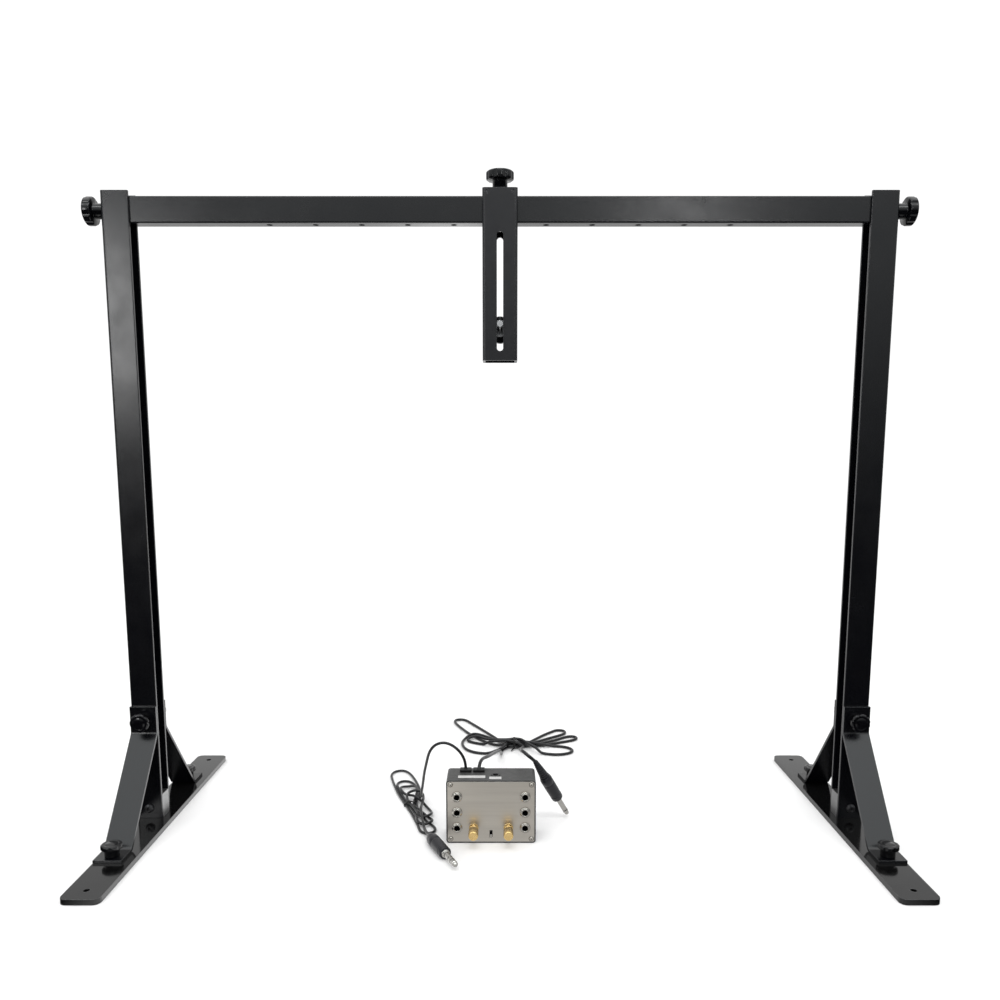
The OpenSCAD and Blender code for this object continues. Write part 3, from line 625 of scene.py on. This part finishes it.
# Profiles are (radius, height) in mm. A cut is the count of hollows, the head's radius, the
# hollows' radius and depth, the heights between which they run in, and a turn.
KNOB = [(4.05, 0.4), (4.05, 0.0), (7.7, 0.0), (8.1, 0.4), (8.1, 9.6), (8.3, 10.1), (8.8, 10.4),
        (13.4, 10.6), (14.3, 10.9), (14.85, 11.5), (15, 12.2), (15, 17.4), (14.9, 18.2),
        (14.5, 18.9), (13.7, 19.45), (12.4, 19.85), (10.5, 20.2), (9.4, 20.35), (9.1, 20.05),
        (8.7, 20.05), (8.3, 20.4), (5, 20.5), (1, 20.5)]
KNOB_CUT = (8, 15, 3.6, 1.35, 9.6, 10.5, math.pi / 8)
HEAD_H = 13
STUD_R = 3
SCREW_HEAD = [(7.3, 0), (7.5, 0.25), (7.5, 6.0), (7.8, 6.7), (8.8, 7.1), (10.1, 7.5), (10.8, 8.1),
              (11, 8.8), (11, 11.2), (10.8, 11.9), (10.2, 12.5), (9.0, 12.85), (7.4, 13), (7.1, 12.8),
              (6.7, 12.8), (6.4, 13), (1, 13)]
SCREW_CUT = (7, 11, 3.2, 1.0, 6.6, 7.4, 0.0)


def middle(node):
    low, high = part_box(node)
    return (low + high) / 2


for node, body, axis in (
        ("clamp_knob", "clamp", (0, 0, 1)), ("camera_knob", "camera_screw", (0, 1, 0)),
        ("end_knob_left", "end_left", (-1, 0, 0)), ("end_knob_right", "end_right", (1, 0, 0))):
    direction = Vector(axis)
    low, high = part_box(node)
    half = abs((high - low) @ direction) / 2
    shape = Shape()
    shape.lathe(KNOB, aimed(middle(node) - direction * half, axis), 128, 0, KNOB_CUT, (False, True))
    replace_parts(shape.piece(node + "_moulded", "knob_black", body, 50), node)


def thumb_screw(node):
    """A thumb screw with a threaded stud: lower ones stand up, upper ones point outwards."""
    low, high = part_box(node)
    mid = middle(node)
    if "lower" in node:
        axis, stud = Vector((0, 0, 1)), high.z - low.z
        origin = Vector((mid.x, mid.y, high.z - HEAD_H * MM))
    else:
        out, face = (-1, low.y) if "front" in node else (1, high.y)
        axis, stud = Vector((0, out, 0)), high.y - low.y
        origin = Vector((mid.x, face - out * HEAD_H * MM, mid.z))
    deep = stud / MM - HEAD_H
    profile = [(2.4, -deep), (STUD_R, 0.6 - deep)]
    z = 1.2 - deep
    while z < -1:
        profile += [(2.65, z), (STUD_R, z + 0.45)]
        z += 0.9
    profile += [(STUD_R, -0.02)] + SCREW_HEAD
    shape = Shape()
    shape.lathe(profile, aimed(origin, axis), 112, 0, SCREW_CUT)
    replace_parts(shape.piece(node + "_moulded", "knob_black", node[6:], 50), node)


for side in ("left", "right"):
    for end in ("front", "rear"):
        for level in ("upper", "lower"):
            thumb_screw(f"screw_{level}_{end}_{side}")

# ---------- control panel ----------

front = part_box("faceplate")[0].y
FACING = (0, -1, 0)
JACK_NUT = [(4.5, 0), (5.9, 0), (6, 0.2), (6, 1.1), (5.7, 1.5), (5.2, 1.75), (4.7, 1.8)]
NUT_CUT = (24, 6, 0.5, 0.22, -1, -0.5)
JACK_BARREL = [(4.7, 1.5), (4.62, 1.9), (4.75, 2.05), (4.62, 2.2), (4.75, 2.35), (4.55, 2.6),
               (4.1, 2.75), (3.6, 2.72), (3.3, 2.55), (3.18, 2.2), (3.18, 1.2)]
shape = Shape()
for name, mount in mounts.items():
    if name.startswith("jack_"):
        x, _, z = mount["pos_m"]
        place = aimed((x, front, z), FACING)
        shape.lathe(JACK_NUT, place, 96, 0, NUT_CUT, (False, False))
        shape.lathe(JACK_BARREL, place, 56, 0, None, (False, False))
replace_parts(shape.piece("jack_collars", "nut_chrome", "control_box", 45), "jack_nuts")

low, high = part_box("faceplate_screws")
shape = Shape()
inset = 2.2 * MM
for x in (low.x + inset, high.x - inset):
    for z in (low.z + inset, high.z - inset):
        place = aimed((x, front, z), FACING, 0.6)
        shape.lathe([(2.6, 0), (2.75, 0.03), (2.75, 0.1), (2.35, 0.14)], place, 40, 1, None,
                    (False, True))
        shape.lathe([(2.2, 0.05), (2.2, 0.45), (1.9, 0.8), (1.3, 1.0), (0.9, 1.05)], place, 40, 0, None,
                    (False, True))
        for turn in (0, math.pi / 2):
            slot = place @ Matrix.Rotation(turn, 4, "Z")
            bar = Shape()
            bar.block((-0.0013, -0.0003, 0.0008), (0.0013, 0.0003, 0.0011), 0.0001, 1, 1)
            shape.put([slot @ p for p in bar.points], bar.faces, 1)
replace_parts(shape.piece("faceplate_screw_heads", ["panel_steel", "socket_black"], "control_box", 40),
            "faceplate_screws")

# Each dial stands off the faceplate on its bush
DIAL_GAP = 6.8
BUSH_TOP = 3.2
DIAL = [(2.9, -11), (3, -10.6), (3, -0.02), (4.9, 0), (5.3, 0.3), (5.35, 0.9), (5.1, 1.2),
        (5.1, 1.6), (5.5, 1.9), (5.5, 12.8), (5.3, 13.3), (5.15, 13.6), (5.3, 13.9),
        (5.2, 14.4), (4.8, 14.85), (4.2, 15), (3.6, 14.9), (0.5, 14.85)]
DIAL_CUT = (24, 5.5, 0.6, 0.3, 1.6, 2.0)
shape = Shape()
for node, body in (("dial_left", "dial_a"), ("dial_right", "dial_b")):
    mid = middle(node)
    place = aimed((mid.x, front, mid.z), FACING)
    washer = [(4.0, 0.02), (5.2, 0.02), (5.3, 0.15), (5.3, 0.7), (5.15, 0.85), (4.9, 0.87)]
    shape.lathe(washer, place, 48, 0, None, (False, False))
    shape.lathe([(4.9, 0.87), (4.95, 2.9), (4.6, BUSH_TOP), (4.1, 3.25)], place, 48, 0,
                (6, 4.95, 14, 0.65, 0, 0.5), (False, False))
    z, thread = BUSH_TOP, []
    while z < 6.3:
        thread += [(4.1, z), (3.8, z + 0.25)]
        z += 0.5
    shape.lathe(thread + [(3.1, 6.5)], place, 48, 0, None, (False, False))
    dial = Shape()
    dial.lathe(DIAL, aimed((mid.x, front - DIAL_GAP * MM, mid.z), FACING, 0.5), 144, 0, DIAL_CUT)
    dial.block((-0.0004, 0.0008, 0.01455), (0.0004, 0.0046, 0.01505), 0.00015, 2, 1)
    piece = dial.piece(node + "_turned", ["dial_brass", "socket_black"], body, 45)
    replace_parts(piece, node)
shape.piece("dial_collars", "dial_brass", "control_box", 40)

# ---------- floor, light and background ----------

FLOOR_HALF = 9
FLOOR_Z = -0.0002
mesh = bpy.data.meshes.new("floor")
corners = ((-1, -1), (1, -1), (1, 1), (-1, 1))
mesh.from_pydata([(FLOOR_HALF * x, FLOOR_HALF * y, FLOOR_Z) for x, y in corners], [], [(0, 1, 2, 3)])
floor = bpy.data.objects.new("floor", mesh)
bpy.context.scene.collection.objects.link(floor)

# In glossy rays the floor glows as a painted reflection: bright between the legs and behind them, and
# dark elsewhere
pale = Finish("floor_pale", specular=0.1)
pale.shader.inputs["Roughness"].default_value = 0.9
pale.use(Base_Color=pale.mix(pale.noise(0.5), (0.95, 0.95, 0.95, 1), (0.97, 0.97, 0.97, 1)))
parts = pale.add("ShaderNodeSeparateXYZ", Vector=pale.place).outputs
aside = pale.combine("ShaderNodeMath", "ABSOLUTE", parts["X"])
far_side = pale.spread(parts["Y"], 0.02, 0.95, 0.1, 0.5)
between = pale.times(pale.spread(aside, 1, 0, 0.37, 0.43), pale.spread(parts["Y"], 0, 1, -0.5, -0.3))
# The painted reflection is brighter still to the left of the middle, between the legs
spot = pale.times(between, pale.spread(parts["X"], 1.9, 0.95, -0.13, -0.05))
bright = pale.combine("ShaderNodeMath", "MAXIMUM", far_side, spot)
painted_reflection_glow = pale.add("ShaderNodeEmission", Strength=bright)
blend = pale.add("ShaderNodeMixShader")
glossy = pale.add("ShaderNodeLightPath").outputs["Is Glossy Ray"]
for k, source in enumerate((glossy, pale.shader.outputs[0], painted_reflection_glow.outputs[0])):
    pale.tree.links.new(source, blend.inputs[k])
pale.tree.links.new(blend.outputs[0], pale.tree.nodes["Material Output"].inputs["Surface"])
mesh.materials.append(pale.material)


def area_light(name, place, target, size, power):
    data = bpy.data.lights.new(name, "AREA")
    data.shape, data.size, data.size_y, data.energy = "RECTANGLE", size[0], size[1], power
    light = bpy.data.objects.new(name, data)
    light.location = place
    light.rotation_euler = (Vector(target) - Vector(place)).to_track_quat("-Z", "Y").to_euler()
    bpy.context.scene.collection.objects.link(light)


area_light("softbox_left", (-1.66, -2.5, 0.95), (-0.4, 0, 0.6), (0.62, 0.6), 13)
area_light("softbox_top", (0, -1.3, 2.5), (0, 0, 0.4), (1.6, 0.22), 16)
area_light("softbox_right", (0.69, -2.5, 1.34), (0.2, 0, 0.69), (0.1, 0.5), 3.2)

# Paint mirrors a room that is dark low in front and light above; the rest is lit evenly
world = bpy.data.worlds.new("studio")
bpy.context.scene.world = world
world.use_nodes = True
sky = Nodes(world.node_tree)
toward = sky.add("ShaderNodeTexCoord").outputs["Generated"]
parts = sky.add("ShaderNodeSeparateXYZ", Vector=toward).outputs
ahead = sky.mix(1.0, (0.96, 1, 1.01, 1), sky.spread(parts["Z"], 0.03, 2.7, -0.06, 0.9), "MULTIPLY")
ramp = sky.add("ShaderNodeValToRGB", Fac=parts["Z"])
stops = ramp.color_ramp.elements
stops[0].position, stops[0].color = 0.3, (0.33, 0.33, 0.33, 1)
stops[1].position, stops[1].color = 1.0, (0.8, 0.8, 0.8, 1)
stops.new(0.43).color = (0.23, 0.23, 0.23, 1)
behind = sky.add("ShaderNodeVectorMath", {"operation": "SCALE"}, Vector=ramp.outputs[0], Scale=3)
mirrored = sky.mix(sky.spread(parts["Y"], 0, 1, -0.25, 0.25), ahead, behind.outputs[0])
glossy = sky.add("ShaderNodeLightPath").outputs["Is Glossy Ray"]
color = sky.mix(glossy, (1.08, 1.08, 1.08, 1), mirrored)
sky.tree.links.new(color, sky.tree.nodes["Background"].inputs["Color"])
bpy.context.scene.view_settings.view_transform = "Standard"
